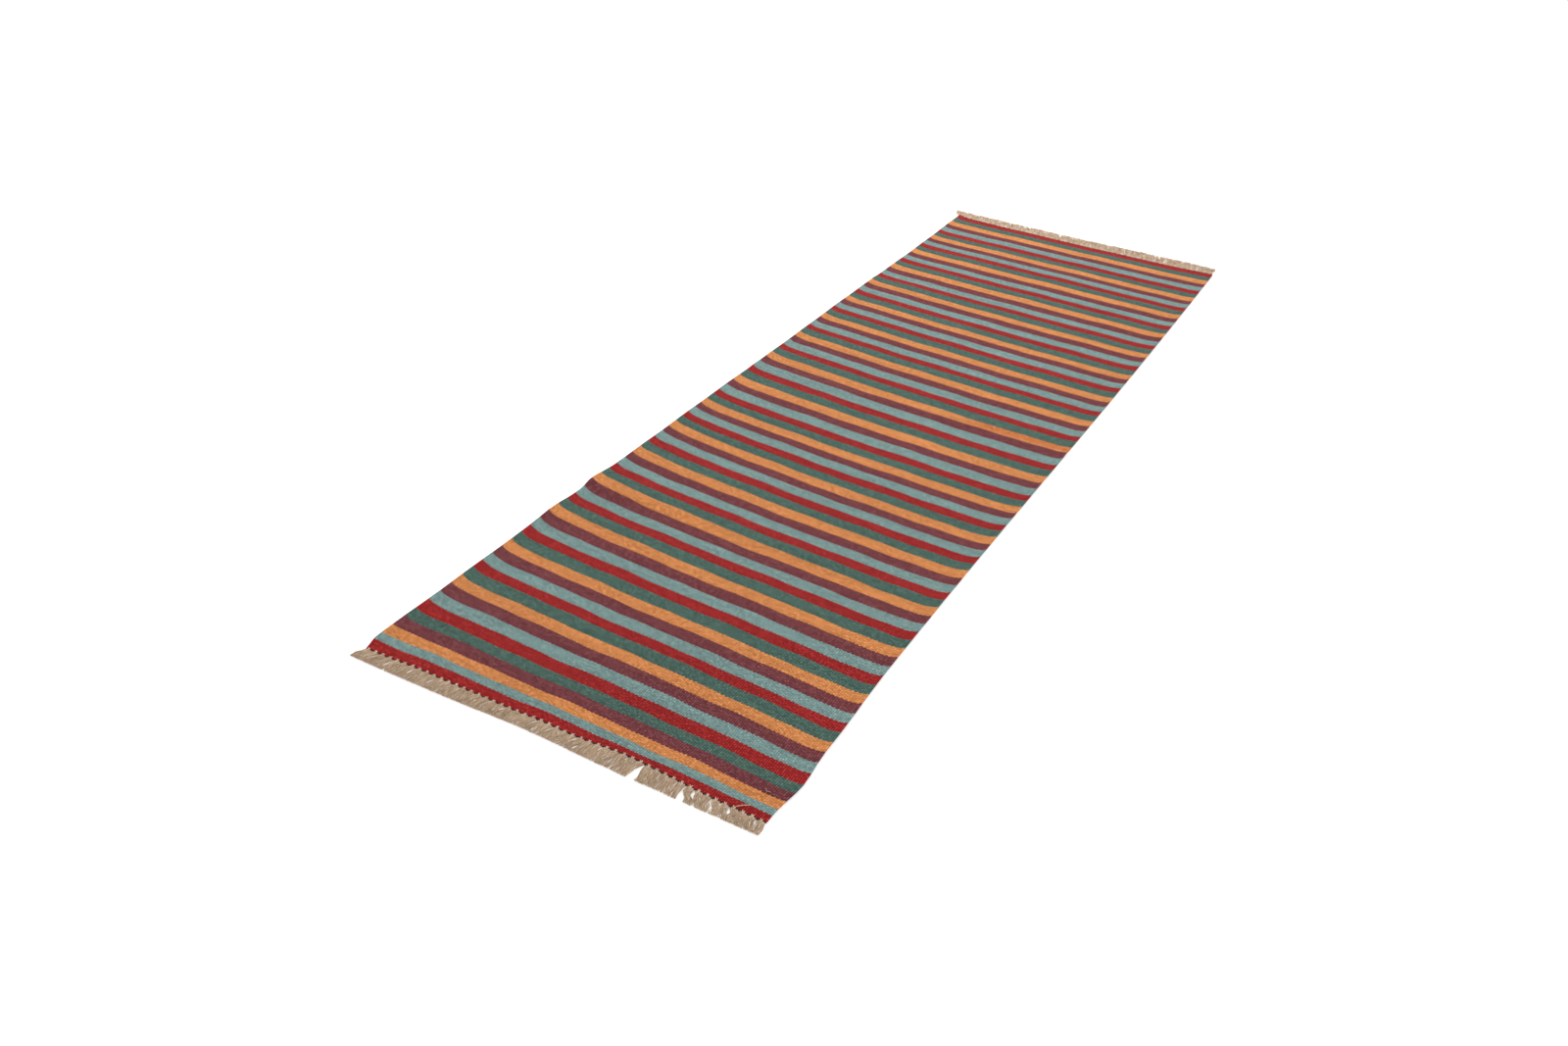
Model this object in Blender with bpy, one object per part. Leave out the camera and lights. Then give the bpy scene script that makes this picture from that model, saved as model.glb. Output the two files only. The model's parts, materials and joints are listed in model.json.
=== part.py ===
"""Flat-woven runner rug, in metres, +Z up.

Five dyed wefts are beaten down over undyed warps, so the wefts alone show on both faces. Each
weft stripe is a flat sleeve that turns round the outer warps, and each colour's yarn is carried
up inside the left edge from one of its stripes to the next. A dark twined row holds the last
weft at each end, and the warps run on past it as fringe. Three creases divide the rug into four
panels, which fold up over each other.

The origin is on the floor at the middle of the whole length. +X runs across the rug, +Y runs
from the near end to the far end.
"""

import math

import bmesh
import bpy
from mathutils import Matrix, Vector

# Whole rug
WIDTH = 0.800
WOVEN_LENGTH = 2.620
THICKNESS = 0.0036
NEAR_FRINGE_LENGTH = 0.040
FAR_FRINGE_LENGTH = 0.048
GAP = 0.0003  # between pieces that touch in the real rug

# Stripes, named from the near end to the far end
STRIPE_WIDTHS = {"red": 0.0265, "green": 0.0302, "orange": 0.0300, "plum": 0.0286, "teal": 0.0306}
NEAR_BORDER = (
    ("red", 0.016),
    ("teal", 0.019),
    ("orange", 0.023),
    ("plum", 0.027),
    ("green", 0.025),
    ("red", 0.030),
)
REPEAT_ORDER = ("teal", "plum", "orange", "green", "red")
REPEATS = 17
BEATING_DRIFT = 0.015  # the weft is packed tighter towards the near end
BEATING_VARIATION = 0.05
BEATING_TURN = 2.4  # radians from one stripe to the next, so that no two neighbours match
LOOSE_PLACE = 0.46  # share of the repeats' length where the weft was beaten least
LOOSE_REACH = 0.07
LOOSE_GAIN = 0.07

# Creases, measured along the woven field from its near end
NEAR_CREASE_LIMIT = 0.635
CENTRE_CREASE_TARGET = 1.320
FAR_CREASE_LIMIT = WOVEN_LENGTH - 0.625

# Section through a weft sleeve
WEFT_WALL = 0.0010
WEFT_EDGE_WALL = 0.0012
WARP_THICKNESS = 0.0010
EDGE_WARP_WIDTH = 0.0026
EDGE_WARP_HEIGHT = 0.0010
EDGE_WARP_SIDES = 8

# Yarn carried from stripe to stripe inside the left edge
CARRIED_YARN = 0.0010
CARRIED_WIDTH = 0.0012
CARRIED_PITCH = 0.0020
TURN_WIDTH = 0.0016
TURN_BITE = 0.0004  # how far a carried yarn's turn goes into the sleeve's wall
TURN_INSET = 0.0020

# End rows and fringe
TWINING_WIDTH = 0.0030
FRINGE_THICKNESS = 0.0030
FRINGE_SPINE = 0.0025
BUNDLES = 50
BUNDLE_NECK = 0.0060
BUNDLE_TIP_GAP = 0.0008
TRIM_STEPS = 3
TRIM_STEP = 0.0006
NEAR_GROUPS = (
    ("near_fringe_left", 0, 36, -0.400, 0.168),
    ("near_fringe_middle", 36, 41, 0.180, 0.260),
    ("near_fringe_right", 41, 50, 0.268, 0.400),
)

PANELS = ("near", "near_middle", "far_middle", "far")
COLOURS = tuple(STRIPE_WIDTHS)

# Linear base colours and roughness
FINISHES = {
    "red": ((0.305, 0.0144, 0.0137), 0.88),
    "green": ((0.056, 0.109, 0.089), 0.88),
    "orange": ((0.638, 0.223, 0.067), 0.88),
    "plum": ((0.156, 0.040, 0.041), 0.88),
    "teal": ((0.168, 0.275, 0.250), 0.88),
    "warp": ((0.456, 0.352, 0.242), 0.85),
    "twining": ((0.0296, 0.0091, 0.0159), 0.85),
}

NEAR_TIP = -0.5 * (NEAR_FRINGE_LENGTH + WOVEN_LENGTH + FAR_FRINGE_LENGTH)
NEAR_END = NEAR_TIP + NEAR_FRINGE_LENGTH
FAR_END = NEAR_END + WOVEN_LENGTH
HALF_WIDTH = 0.5 * WIDTH
MID_HEIGHT = 0.5 * THICKNESS
HOLLOW_HALF_WIDTH = HALF_WIDTH - WEFT_EDGE_WALL
EDGE_WARP_X = HOLLOW_HALF_WIDTH - GAP - 0.5 * EDGE_WARP_WIDTH
CARRIED_START_X = -EDGE_WARP_X + 0.5 * (EDGE_WARP_WIDTH + TURN_WIDTH) + GAP
WARP_LEFT = CARRIED_START_X + (len(COLOURS) - 1) * CARRIED_PITCH + 0.5 * TURN_WIDTH + GAP
WARP_RIGHT = EDGE_WARP_X - 0.5 * EDGE_WARP_WIDTH - GAP


def clear_scene():
    for item in list(bpy.data.objects):
        bpy.data.objects.remove(item, do_unlink=True)


def make_material(name):
    colour, roughness = FINISHES[name]
    material = bpy.data.materials.new(name)
    material.use_nodes = True
    shader = material.node_tree.nodes["Principled BSDF"]
    shader.inputs["Base Color"].default_value = (*colour, 1.0)
    shader.inputs["Roughness"].default_value = roughness
    shader.inputs["Metallic"].default_value = 0.0
    return material


def make_object(name, bm, material):
    bmesh.ops.recalc_face_normals(bm, faces=bm.faces)
    mesh = bpy.data.meshes.new(name)
    bm.to_mesh(mesh)
    bm.free()
    if material:
        mesh.materials.append(material)
    item = bpy.data.objects.new(name, mesh)
    bpy.context.scene.collection.objects.link(item)
    return item


def stripe_layout():
    """The stripes from the near end to the far end, each as its colour and its two edges in Y."""
    border = sum(width for _, width in NEAR_BORDER)
    field = WOVEN_LENGTH - border
    widths = []
    count = REPEATS * len(REPEAT_ORDER)
    for index in range(count):
        colour = REPEAT_ORDER[index % len(REPEAT_ORDER)]
        along = (index + 0.5) / count
        beating = 1.0 - BEATING_DRIFT * math.cos(math.pi * along)
        beating += BEATING_VARIATION * math.sin(BEATING_TURN * index)
        beating += LOOSE_GAIN * math.exp(-(((along - LOOSE_PLACE) / LOOSE_REACH) ** 2))
        widths.append((colour, STRIPE_WIDTHS[colour] * beating))
    fit = field / sum(width for _, width in widths)
    widths = list(NEAR_BORDER) + [(colour, width * fit) for colour, width in widths]
    stripes = []
    start = NEAR_END
    for colour, width in widths:
        stripes.append((colour, start, start + width))
        start += width
    return stripes


def crease_positions(stripes):
    """The three creases, each on the line between two stripes."""
    lines = [start for _, start, _ in stripes[1:]]
    near = max(y for y in lines if y <= NEAR_END + NEAR_CREASE_LIMIT)
    centre = min(lines, key=lambda y: abs(y - NEAR_END - CENTRE_CREASE_TARGET))
    far = min(y for y in lines if y >= NEAR_END + FAR_CREASE_LIMIT)
    return near, centre, far


def extrude(bm, faces, offset):
    """Pull the faces out by the offset and return them in their new place."""
    covered = [face for face in faces if all(len(edge.link_faces) > 1 for edge in face.edges)]
    result = bmesh.ops.extrude_face_region(bm, geom=faces)
    bmesh.ops.delete(bm, geom=covered, context="FACES_ONLY")
    moved = [item for item in result["geom"] if isinstance(item, bmesh.types.BMVert)]
    bmesh.ops.translate(bm, verts=moved, vec=offset)
    return [item for item in result["geom"] if isinstance(item, bmesh.types.BMFace)]


def add_section(bm, centre, half_width, half_height):
    """The edges of an upright rectangle across the rug, centred on a point."""
    corners = ((-half_width, -half_height), (half_width, -half_height))
    corners += ((half_width, half_height), (-half_width, half_height))
    ring = [bm.verts.new(centre + Vector((x, 0.0, z))) for x, z in corners]
    return [bm.edges.new((ring[index - 1], ring[index])) for index in range(len(ring))]


def add_sleeve(bm, start, end):
    """A flat sleeve of weft: an outer skin, a hollow for the warps, and its two rims."""
    centre = Vector((0.0, start, MID_HEIGHT))
    outer = add_section(bm, centre, HALF_WIDTH, MID_HEIGHT)
    inner = add_section(bm, centre, HOLLOW_HALF_WIDTH, MID_HEIGHT - WEFT_WALL)
    rim = bmesh.ops.bridge_loops(bm, edges=outer + inner)["faces"]
    extrude(bm, rim, Vector((0.0, end - start, 0.0)))


def resize_section(bm, faces, width_ratio, height_ratio):
    """Step a bar's end face to another width and height, in its own plane."""
    stepped = extrude(bm, faces, Vector())
    corners = stepped[0].verts[:]
    centre = stepped[0].calc_center_median()
    bmesh.ops.scale(
        bm,
        verts=corners,
        vec=Vector((width_ratio, 1.0, height_ratio)),
        space=Matrix.Translation(-centre),
    )
    return stepped


def carried_yarn(name, x, spans):
    """The yarn that joins one colour's stripes, thick where it turns into each sleeve."""
    half_turn = MID_HEIGHT - WEFT_WALL + TURN_BITE
    width_ratio = CARRIED_WIDTH / TURN_WIDTH
    height_ratio = 0.5 * CARRIED_YARN / half_turn
    bm = bmesh.new()
    here = spans[0][0] + TURN_INSET
    edges = add_section(bm, Vector((x, here, MID_HEIGHT)), 0.5 * TURN_WIDTH, half_turn)
    end_face = bmesh.ops.contextual_create(bm, geom=edges)["faces"]
    for number, (start, end) in enumerate(spans):
        if number:
            end_face = resize_section(bm, end_face, width_ratio, height_ratio)
            end_face = extrude(bm, end_face, Vector((0.0, start + TURN_INSET - here, 0.0)))
            end_face = resize_section(bm, end_face, 1.0 / width_ratio, 1.0 / height_ratio)
        turn_start = start + TURN_INSET
        here = end - TURN_INSET
        end_face = extrude(bm, end_face, Vector((0.0, here - turn_start, 0.0)))
    yarn = make_object(name, bm, None)
    yarn.hide_render = True
    yarn.display_type = "WIRE"
    return yarn


def make_weft(colour, panel, spans, material):
    """One colour's stripes in one panel, with the yarn that joins them."""
    bm = bmesh.new()
    for start, end in spans:
        add_sleeve(bm, start + 0.5 * GAP, end - 0.5 * GAP)
    weft = make_object(f"{colour}_weft_{panel}", bm, material)
    x = CARRIED_START_X + COLOURS.index(colour) * CARRIED_PITCH
    union = weft.modifiers.new("carried yarn", "BOOLEAN")
    union.operation = "UNION"
    union.solver = "EXACT"
    union.object = carried_yarn(f"{colour}_carried_{panel}", x, spans)
    return weft


def make_warp_sheet(name, start, end, material):
    """The warps of one panel, side by side as one flat sheet."""
    bm = bmesh.new()
    centre = Vector((0.5 * (WARP_LEFT + WARP_RIGHT), start, MID_HEIGHT))
    edges = add_section(bm, centre, 0.5 * (WARP_RIGHT - WARP_LEFT), 0.5 * WARP_THICKNESS)
    face = bmesh.ops.contextual_create(bm, geom=edges)["faces"]
    extrude(bm, face, Vector((0.0, end - start, 0.0)))
    return make_object(name, bm, material)


def make_edge_warp(name, x, start, end, material):
    """The doubled outer warp that the wefts turn round."""
    bm = bmesh.new()
    upright = Matrix.Translation((x, start, MID_HEIGHT)) @ Matrix.Rotation(0.5 * math.pi, 4, "X")
    flattened = Matrix.Diagonal((1.0, EDGE_WARP_HEIGHT / EDGE_WARP_WIDTH, 1.0, 1.0))
    bmesh.ops.create_circle(
        bm,
        cap_ends=True,
        segments=EDGE_WARP_SIDES,
        radius=0.5 * EDGE_WARP_WIDTH,
        matrix=upright @ flattened,
    )
    extrude(bm, bm.faces[:], Vector((0.0, end - start, 0.0)))
    return make_object(name, bm, material)


def make_twining(name, start, end, material):
    """The dark twined row that holds the last weft in place."""
    bm = bmesh.new()
    add_sleeve(bm, start, end)
    return make_object(name, bm, material)


def make_fringe(name, group, root, outwards, length, material):
    """A group of fringe bundles: narrow necks on a shared head, fanning out to trimmed tips."""
    first, last, tip_left, tip_right = group
    pitch = WIDTH / BUNDLES
    tip_pitch = (tip_right - tip_left) / (last - first)
    head = root + outwards * FRINGE_SPINE
    outline = [(-HALF_WIDTH + first * pitch + GAP, root)]
    for bundle in range(first, last):
        neck = -HALF_WIDTH + (bundle + 0.5) * pitch
        tip = tip_left + (bundle - first + 0.5) * tip_pitch
        half_tip = 0.5 * (tip_pitch - BUNDLE_TIP_GAP)
        trim = TRIM_STEP * (bundle % TRIM_STEPS)
        tip_y = root + outwards * (length - trim)
        outline.append((neck - 0.5 * BUNDLE_NECK, head))
        outline.append((tip - half_tip, tip_y))
        outline.append((tip + half_tip, tip_y))
        outline.append((neck + 0.5 * BUNDLE_NECK, head))
    outline.append((-HALF_WIDTH + last * pitch - GAP, root))
    bm = bmesh.new()
    base = bm.faces.new([bm.verts.new((x, y, 0.0)) for x, y in outline])
    extrude(bm, [base], Vector((0.0, 0.0, FRINGE_THICKNESS)))
    bmesh.ops.triangulate(bm, faces=bm.faces)
    return make_object(name, bm, material)


def main():
    clear_scene()
    materials = {name: make_material(name) for name in FINISHES}
    stripes = stripe_layout()
    near, centre, far = crease_positions(stripes)
    limits = (NEAR_END, near, centre, far, FAR_END)

    for number, panel in enumerate(PANELS):
        low, high = limits[number], limits[number + 1]
        for colour in COLOURS:
            spans = [
                (start, end)
                for name, start, end in stripes
                if name == colour and low <= 0.5 * (start + end) < high
            ]
            make_weft(colour, panel, spans, materials[colour])
        warp_start = low + 0.5 * GAP if number else low - TWINING_WIDTH
        warp_end = high - 0.5 * GAP if number < len(PANELS) - 1 else high + TWINING_WIDTH
        make_warp_sheet(f"warp_{panel}", warp_start, warp_end, materials["warp"])
        for side, x in (("left", -EDGE_WARP_X), ("right", EDGE_WARP_X)):
            make_edge_warp(f"edge_warp_{side}_{panel}", x, warp_start, warp_end, materials["warp"])

    make_twining("near_twining", NEAR_END - TWINING_WIDTH, NEAR_END - GAP, materials["twining"])
    make_twining("far_twining", FAR_END + GAP, FAR_END + TWINING_WIDTH, materials["twining"])
    root_offset = TWINING_WIDTH + GAP
    for name, *group in NEAR_GROUPS:
        root = NEAR_END - root_offset
        length = NEAR_FRINGE_LENGTH - root_offset
        make_fringe(name, group, root, -1.0, length, materials["warp"])
    far_group = (0, BUNDLES, -HALF_WIDTH, HALF_WIDTH)
    root = FAR_END + root_offset
    length = FAR_FRINGE_LENGTH - root_offset
    make_fringe("far_fringe", far_group, root, 1.0, length, materials["warp"])


main()
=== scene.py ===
"""Flat-woven runner rug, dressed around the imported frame, in metres, +Z up.

The cloth is laid out straight first, stripe by stripe, and then laid down on the floor: the
stripes lean and waver, the edges draw in, and the folds it was stored on still stand a little.
Every piece goes through the same lay, so neighbours always meet.
"""

import json
import logging
import math
from collections.abc import Sequence
from dataclasses import dataclass, field
from enum import Enum

import bmesh
import bpy
import numpy as np
from mathutils import Matrix, Vector


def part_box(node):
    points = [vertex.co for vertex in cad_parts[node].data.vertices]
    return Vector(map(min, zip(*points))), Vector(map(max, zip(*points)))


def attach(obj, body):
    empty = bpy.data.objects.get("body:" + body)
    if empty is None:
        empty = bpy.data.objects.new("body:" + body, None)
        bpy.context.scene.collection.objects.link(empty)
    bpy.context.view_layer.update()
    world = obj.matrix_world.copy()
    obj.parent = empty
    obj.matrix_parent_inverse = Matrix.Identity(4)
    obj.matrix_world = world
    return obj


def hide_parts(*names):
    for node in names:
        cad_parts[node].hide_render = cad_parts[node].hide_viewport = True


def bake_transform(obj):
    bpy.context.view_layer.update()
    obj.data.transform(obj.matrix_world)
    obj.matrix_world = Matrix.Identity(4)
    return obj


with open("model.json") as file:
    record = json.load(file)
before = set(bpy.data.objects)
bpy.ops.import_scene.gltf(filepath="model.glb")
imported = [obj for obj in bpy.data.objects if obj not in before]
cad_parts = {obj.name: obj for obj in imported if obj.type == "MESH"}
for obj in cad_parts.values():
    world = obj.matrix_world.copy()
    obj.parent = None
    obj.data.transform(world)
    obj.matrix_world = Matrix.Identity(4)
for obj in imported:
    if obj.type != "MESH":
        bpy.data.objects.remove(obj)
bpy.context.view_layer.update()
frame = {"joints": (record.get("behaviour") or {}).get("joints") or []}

LOG = logging.getLogger("runner_rug")
MM = 0.001
TURN = 2.0 * math.pi
GAP = 0.0003  # the frame's gap between pieces that touch

Colour = tuple[float, float, float]
Points = np.ndarray


def srgb(red: float, green: float, blue: float) -> Colour:
    """Linear colour from display values of 0 to 255."""
    shares = (value / 255.0 for value in (red, green, blue))
    return tuple(s / 12.92 if s <= 0.04045 else ((s + 0.055) / 1.055) ** 2.4 for s in shares)


class Dye(Enum):
    """The weft yarn's colours."""

    RED = "red"
    GREEN = "green"
    ORANGE = "orange"
    PLUM = "plum"
    TEAL = "teal"


class End(Enum):
    """The rug's two ends, each with its outward direction in Y."""

    NEAR = -1.0
    FAR = 1.0


# ---- Shader building ----


class Signal:
    """One output of a shader node, with arithmetic that adds Math nodes."""

    def __init__(self, graph: "Graph", socket: bpy.types.NodeSocket) -> None:
        """Wrap a socket of the graph."""
        self.graph = graph
        self.socket = socket

    def _math(self, operation: str, *terms: "Signal | float") -> "Signal":
        """A Math node on the terms."""
        return self.graph.node("ShaderNodeMath", {"operation": operation}, dict(enumerate(terms)))

    def __add__(self, other: "Signal | float") -> "Signal":
        """Sum."""
        return self._math("ADD", self, other)

    def __radd__(self, other: float) -> "Signal":
        """Sum with a number first."""
        return self._math("ADD", other, self)

    def __sub__(self, other: "Signal | float") -> "Signal":
        """Difference."""
        return self._math("SUBTRACT", self, other)

    def __rsub__(self, other: float) -> "Signal":
        """Difference from a number."""
        return self._math("SUBTRACT", other, self)

    def __mul__(self, other: "Signal | float") -> "Signal":
        """Product."""
        return self._math("MULTIPLY", self, other)

    def __rmul__(self, other: float) -> "Signal":
        """Product with a number first."""
        return self._math("MULTIPLY", other, self)

    def __pow__(self, other: float) -> "Signal":
        """Power."""
        return self._math("POWER", self, other)

    def floor(self) -> "Signal":
        """Whole part."""
        return self._math("FLOOR", self)

    def fraction(self) -> "Signal":
        """Part after the point."""
        return self._math("FRACT", self)

    def sine(self) -> "Signal":
        """Sine of an angle in radians."""
        return self._math("SINE", self)

    def over(self, low: float, high: float) -> "Signal":
        """Smooth step from 0 at low to 1 at high."""
        settings = {"interpolation_type": "SMOOTHSTEP"}
        return self.graph.node("ShaderNodeMapRange", settings, {0: self, 1: low, 2: high})


class Graph:
    """A material's node tree, with its shader."""

    def __init__(self, name: str) -> None:
        """Make the material and keep its Principled shader.

        Args:
            name: the material's name.
        """
        self.material = bpy.data.materials.new(name)
        self.material.use_nodes = True
        self.tree = self.material.node_tree
        self.shader = self.tree.nodes["Principled BSDF"]

    def node(
        self,
        kind: str,
        settings: dict[str, object],
        inputs: dict[int | str, object],
        output: int | str = 0,
    ) -> Signal:
        """Add one node.

        Args:
            kind: the node's type.
            settings: the node's own properties, set before its sockets.
            inputs: a value or a Signal for each socket that isn't left as it is.
            output: which output to return.

        Returns:
            The chosen output.
        """
        made = self.tree.nodes.new(kind)
        for name, value in settings.items():
            setattr(made, name, value)
        for key, value in inputs.items():
            if isinstance(value, Signal):
                self.tree.links.new(value.socket, made.inputs[key])
            else:
                made.inputs[key].default_value = value
        return Signal(self, made.outputs[output])

    def mix(self, factor: Signal | float, first: object, second: object) -> Signal:
        """Colour between the first and the second."""
        first, second = ((*c, 1.0) if isinstance(c, tuple) else c for c in (first, second))
        return self.node("ShaderNodeMix", {"data_type": "RGBA"}, {0: factor, 6: first, 7: second}, 2)

    def noise(self, place: Signal, scale: float, detail: float = 2.0, rough: float = 0.5) -> Signal:
        """Noise of about 0 to 1 around 0.5."""
        inputs = {"Vector": place, "Scale": scale, "Detail": detail, "Roughness": rough}
        return self.node("ShaderNodeTexNoise", {"noise_dimensions": "3D"}, inputs)

    def stretched(self, place: Signal, *scale: float) -> Signal:
        """The place with each axis scaled."""
        return self.node("ShaderNodeMapping", {}, {"Vector": place, "Scale": scale})

    def vector(self, x: Signal | float, y: Signal | float, z: Signal | float = 0.0) -> Signal:
        """A vector from its parts."""
        return self.node("ShaderNodeCombineXYZ", {}, {0: x, 1: y, 2: z})

    def parts(self, place: Signal) -> tuple[Signal, Signal]:
        """The first two parts of a vector."""
        split = self.node("ShaderNodeSeparateXYZ", {}, {0: place})
        return split, Signal(self, split.socket.node.outputs[1])

    def lit(self, colour: Signal, factor: Signal) -> Signal:
        """The colour made lighter or darker by the factor."""
        inputs = {"Vector": colour, "Scale": factor}
        return self.node("ShaderNodeVectorMath", {"operation": "SCALE"}, inputs)

    def finish(self, colour: Signal, height: Signal, depth: float, roughness: float, sheen: float) -> None:
        """Link the colour and the relief, and set the even values.

        Args:
            colour: base colour over the surface.
            height: relief, 0 to 1.
            depth: how deep the relief is, in metres.
            roughness: even roughness.
            sheen: weight of the fuzz's sheen.
        """
        normal = self.node("ShaderNodeBump", {}, {"Strength": 1.0, "Distance": depth, "Height": height})
        self.tree.links.new(colour.socket, self.shader.inputs["Base Color"])
        self.tree.links.new(normal.socket, self.shader.inputs["Normal"])
        self.shader.inputs["Roughness"].default_value = roughness
        self.shader.inputs["Sheen Weight"].default_value = sheen
        self.shader.inputs["Sheen Roughness"].default_value = 0.5
        self.shader.inputs["Specular IOR Level"].default_value = 0.08


@dataclass(frozen=True)
class PaintedCreaseShade:
    """A patch of painted shade on one stripe beside a crease: where it is, in warps and weft rows."""

    colour: Colour
    warp: float
    row: float
    warp_blend: float = 14.0
    row_reach: float = 9.0

    def cover(self, warp: Signal, row: Signal) -> Signal:
        """How much of the painted shade shows.

        Args:
            warp: place across, in warps.
            row: place along, in weft rows.

        Returns:
            0 for none to 1 for all.
        """
        off = row - self.row
        within = (off * off * -1.0).over(-(self.row_reach**2), -0.3 * self.row_reach**2)
        return warp.over(self.warp - self.warp_blend, self.warp + self.warp_blend) * within


@dataclass(frozen=True)
class WovenFinish:
    """Weft-faced wool: one float over each warp, in rows that step by half a float, with painted shade in
    the hollows between the floats and a painted highlight on their crowns.
    """

    dye: Dye
    body: Colour
    # painted shade: the colour in the hollows between floats
    painted_shade: Colour
    # painted highlight: the light on each float's crown
    painted_highlight: Colour
    # painted shade in a patch beside a crease, where there is one
    painted_crease_shade: PaintedCreaseShade | None = None
    roughness: float = 0.95
    sheen: float = 0.05

    def material(self) -> bpy.types.Material:
        """The finish, on the cloth's own map of warps and weft rows.

        Returns:
            The material.
        """
        graph = Graph(f"{self.dye.value} weft")
        place = graph.node("ShaderNodeUVMap", {"uv_map": "weave"}, {})
        warp, row = graph.parts(place)
        column = warp.floor()
        stepped = row + (column * 0.5).fraction()
        number = stepped.floor()
        across = warp.fraction() - 0.5
        along = stepped.fraction() - 0.5
        dome = (1.0 - across * across * 4.0) * (1.0 - along * along * 4.0)
        chance = graph.node(
            "ShaderNodeTexWhiteNoise",
            {"noise_dimensions": "2D"},
            {"Vector": graph.vector(column, number)},
        )
        streak = graph.noise(graph.vector(warp * 0.022, row * 0.7), 1.0)
        abrash = graph.noise(graph.vector(warp * 0.012, row * 0.09), 1.0, 1.0)
        fuzz = graph.noise(graph.stretched(place, 1.2, 6.0, 1.0), 3.0, 3.0, 0.65)
        tone = 0.36 + chance * 0.46 + streak * 0.44 + abrash * 0.30
        body = self.body
        # Painted shade beside a crease darkens the body colour in a patch.
        if self.painted_crease_shade:
            body = graph.mix(self.painted_crease_shade.cover(warp, row), self.body, self.painted_crease_shade.colour)
        # Painted shade: towards the hollows between floats the colour runs to the painted shade colour.
        colour = graph.mix(dome.over(-0.35, 0.50), self.painted_shade, body)
        # Painted highlight on each float's crown, stronger on some floats at random.
        light = dome.over(0.30, 0.95) * (0.13 + (chance ** 3.0) * 0.87) * fuzz.over(0.30, 0.60)
        colour = graph.mix(light, colour, self.painted_highlight)
        relief = dome * 0.8 + fuzz * 0.2
        graph.finish(graph.lit(colour, tone), relief, 0.5 * MM, self.roughness, self.sheen)
        return graph.material


@dataclass(frozen=True)
class SpunFinish:
    """Plied yarn that lies free: painted shade in the grooves of its twist, light and dark along its
    length.
    """

    name: str
    body: Colour
    # painted shade: the colour in the grooves of the twist
    painted_shade: Colour
    tip: Colour
    turns: float
    roughness: float = 0.95
    sheen: float = 0.05

    def material(self) -> bpy.types.Material:
        """The finish, on the yarn's own map along and around it.

        Returns:
            The material.
        """
        graph = Graph(self.name)
        place = graph.node("ShaderNodeUVMap", {"uv_map": "UVMap"}, {})
        around, along = graph.parts(place)
        twist = ((along * self.turns + around) * (TURN)).sine() * 0.5 + 0.5
        coords = graph.node("ShaderNodeTexCoord", {}, {}, "Object")
        strand = graph.noise(graph.stretched(coords, 900.0, 60.0, 900.0), 1.0, 1.0)
        patch = graph.noise(graph.stretched(coords, 45.0, 30.0, 45.0), 1.0, 2.0)
        fibre = graph.noise(graph.stretched(coords, 2600.0, 900.0, 2600.0), 1.0, 2.0)
        # Painted shade in the grooves of the twist, between the plies.
        colour = graph.mix(twist.over(0.0, 0.7), self.painted_shade, self.body)
        colour = graph.mix(strand.over(0.5, 0.75) * 0.8, colour, self.tip)
        tone = 0.34 + strand * 0.80 + patch * 0.34 + fibre * 0.12
        relief = twist * 0.7 + fibre * 0.3
        graph.finish(graph.lit(colour, tone), relief, 0.25 * MM, self.roughness, self.sheen)
        return graph.material


# Each dye: body colour, painted shade between floats, painted highlight on float crowns.
WEFT_FINISHES = {
    Dye.RED: WovenFinish(Dye.RED, srgb(156, 23, 25), srgb(84, 8, 12), srgb(212, 92, 84)),
    Dye.GREEN: WovenFinish(Dye.GREEN, srgb(69, 99, 89), srgb(37, 61, 56), srgb(136, 158, 144)),
    Dye.ORANGE: WovenFinish(
        Dye.ORANGE,
        srgb(214, 134, 72),
        srgb(164, 86, 40),
        srgb(240, 196, 146),
        # painted shade on the orange at the right, beside the centre crease
        PaintedCreaseShade(srgb(203, 110, 48), 137.0, 811.5),
    ),
    Dye.PLUM: WovenFinish(Dye.PLUM, srgb(114, 52, 58), srgb(70, 28, 34), srgb(174, 118, 116)),
    Dye.TEAL: WovenFinish(Dye.TEAL, srgb(119, 149, 146), srgb(76, 104, 104), srgb(182, 198, 190)),
}
# Each yarn: body colour, painted shade in the twist's grooves, lighter strands at random.
WARP_FINISH = SpunFinish(
    "undyed cotton", srgb(218, 192, 162), srgb(160, 122, 92), srgb(238, 224, 204), 9.0
)
STITCH_FINISH = SpunFinish(
    "bleached cotton", srgb(238, 226, 206), srgb(190, 164, 136), srgb(246, 238, 226), 3.0
)
TWINING_FINISH = SpunFinish(
    "dark twined yarn", srgb(54, 30, 42), srgb(24, 12, 18), srgb(82, 54, 66), 150.0
)


# ---- How the cloth is laid out and how it lies ----


def bump(value: Points | float, middle: float, reach: Points | float) -> Points:
    """A smooth hump of height 1."""
    return np.exp(-(((value - middle) / reach) ** 2))


@dataclass(frozen=True)
class Hump:
    """A smooth hump: where its top is, how far it reaches to each side and how high it is."""

    middle: float
    reach: float
    height: float

    def at(self, value: Points | float) -> Points:
        """Its height at a value."""
        return self.height * bump(value, self.middle, self.reach)


def heights(humps: Sequence[Hump], value: Points) -> Points:
    """The humps' heights at a value, added up."""
    return sum(hump.at(value) for hump in humps)


@dataclass(frozen=True)
class Stripe:
    """One weft stripe of the straight layout, with its number from the near end."""

    number: int
    dye: Dye
    start: float
    end: float


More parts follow.
